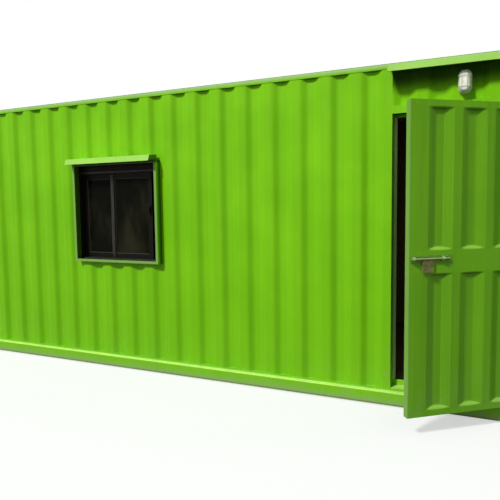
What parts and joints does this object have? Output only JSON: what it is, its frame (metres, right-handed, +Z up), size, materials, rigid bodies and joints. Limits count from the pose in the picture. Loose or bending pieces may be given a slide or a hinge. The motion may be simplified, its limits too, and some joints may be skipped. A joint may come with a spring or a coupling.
{
  "type": "portable site cabin",
  "caption": "Ribbed steel site cabin on a frame with corner castings, lined inside, with an outward door on a slide bolt, a sliding window, folded hoods and a light over the door.",
  "frame": {"origin": "centre of the base on the ground, midway between the slots of the bottom corner castings", "axes": "+X along the front wall to the right, +Y from the front wall to the back wall, +Z up"},
  "size_m": [6.058, 2.9986, 2.591],
  "materials": {
    "green_paint": "gloss enamel, faded and dusty",
    "lining_board": "varnished brown board",
    "floor_ply": "worn plywood",
    "dark_aluminium": "bronze anodised",
    "window_glass": "tinted",
    "worn_steel": "rusty, with green overspray",
    "light_body": "dull cast",
    "light_lens": "ribbed, pale"
  },
  "bodies": {
    "cabin": {"back_wall": "green_paint", "bottom_end_rails": "green_paint", "bottom_rail_back": "green_paint", "bottom_rail_front": "green_paint", "ceiling_lining": "lining_board", "corner_castings_bottom": "green_paint", "corner_castings_top": "green_paint", "corner_posts": "green_paint", "door_canopy": "green_paint", "door_jamb_left": "green_paint", "door_jamb_right": "green_paint", "door_lintel": "green_paint", "door_sill": "green_paint", "floor_board": "floor_ply", "floor_cross_members": "green_paint", "front_wall_left": "green_paint", "front_wall_middle": "green_paint", "front_wall_over_door": "green_paint", "front_wall_over_window": "green_paint", "front_wall_under_window": "green_paint", "jamb_hinges": "green_paint", "left_end_wall": "green_paint", "light_base": "light_body", "light_lens": "light_lens", "lining_back": "lining_board", "lining_front_left": "lining_board", "lining_front_middle": "lining_board", "lining_front_over_door": "lining_board", "lining_front_window": "lining_board", "lining_left": "lining_board", "lining_right": "lining_board", "right_end_wall": "green_paint", "roof_sheet": "green_paint", "top_end_rails": "green_paint", "top_rail_back": "green_paint", "top_rail_front": "green_paint", "window_frame": "dark_aluminium", "window_glass": "window_glass", "window_hood": "green_paint", "window_sashes": "dark_aluminium", "window_surround": "green_paint"},
    "door": {"door_frame": "green_paint", "door_sheet_lower": "green_paint", "door_sheet_upper": "green_paint", "leaf_hinges": "green_paint", "bolt_guides": "worn_steel"},
    "bolt": {"slide_bolt": "worn_steel"}
  },
  "joints": [
    {"name": "door_hinge", "type": "hinge", "parent": "cabin", "child": "door", "pos_m": [2.847, -1.144, 1.1675], "axis": [0, 0, 1], "range_deg": [-40, 65]},
    {"name": "bolt_slide", "type": "slide", "parent": "door", "child": "bolt", "axis": [-0.766, -0.6428, 0], "range_m": [0, 0.05]}
  ]
}
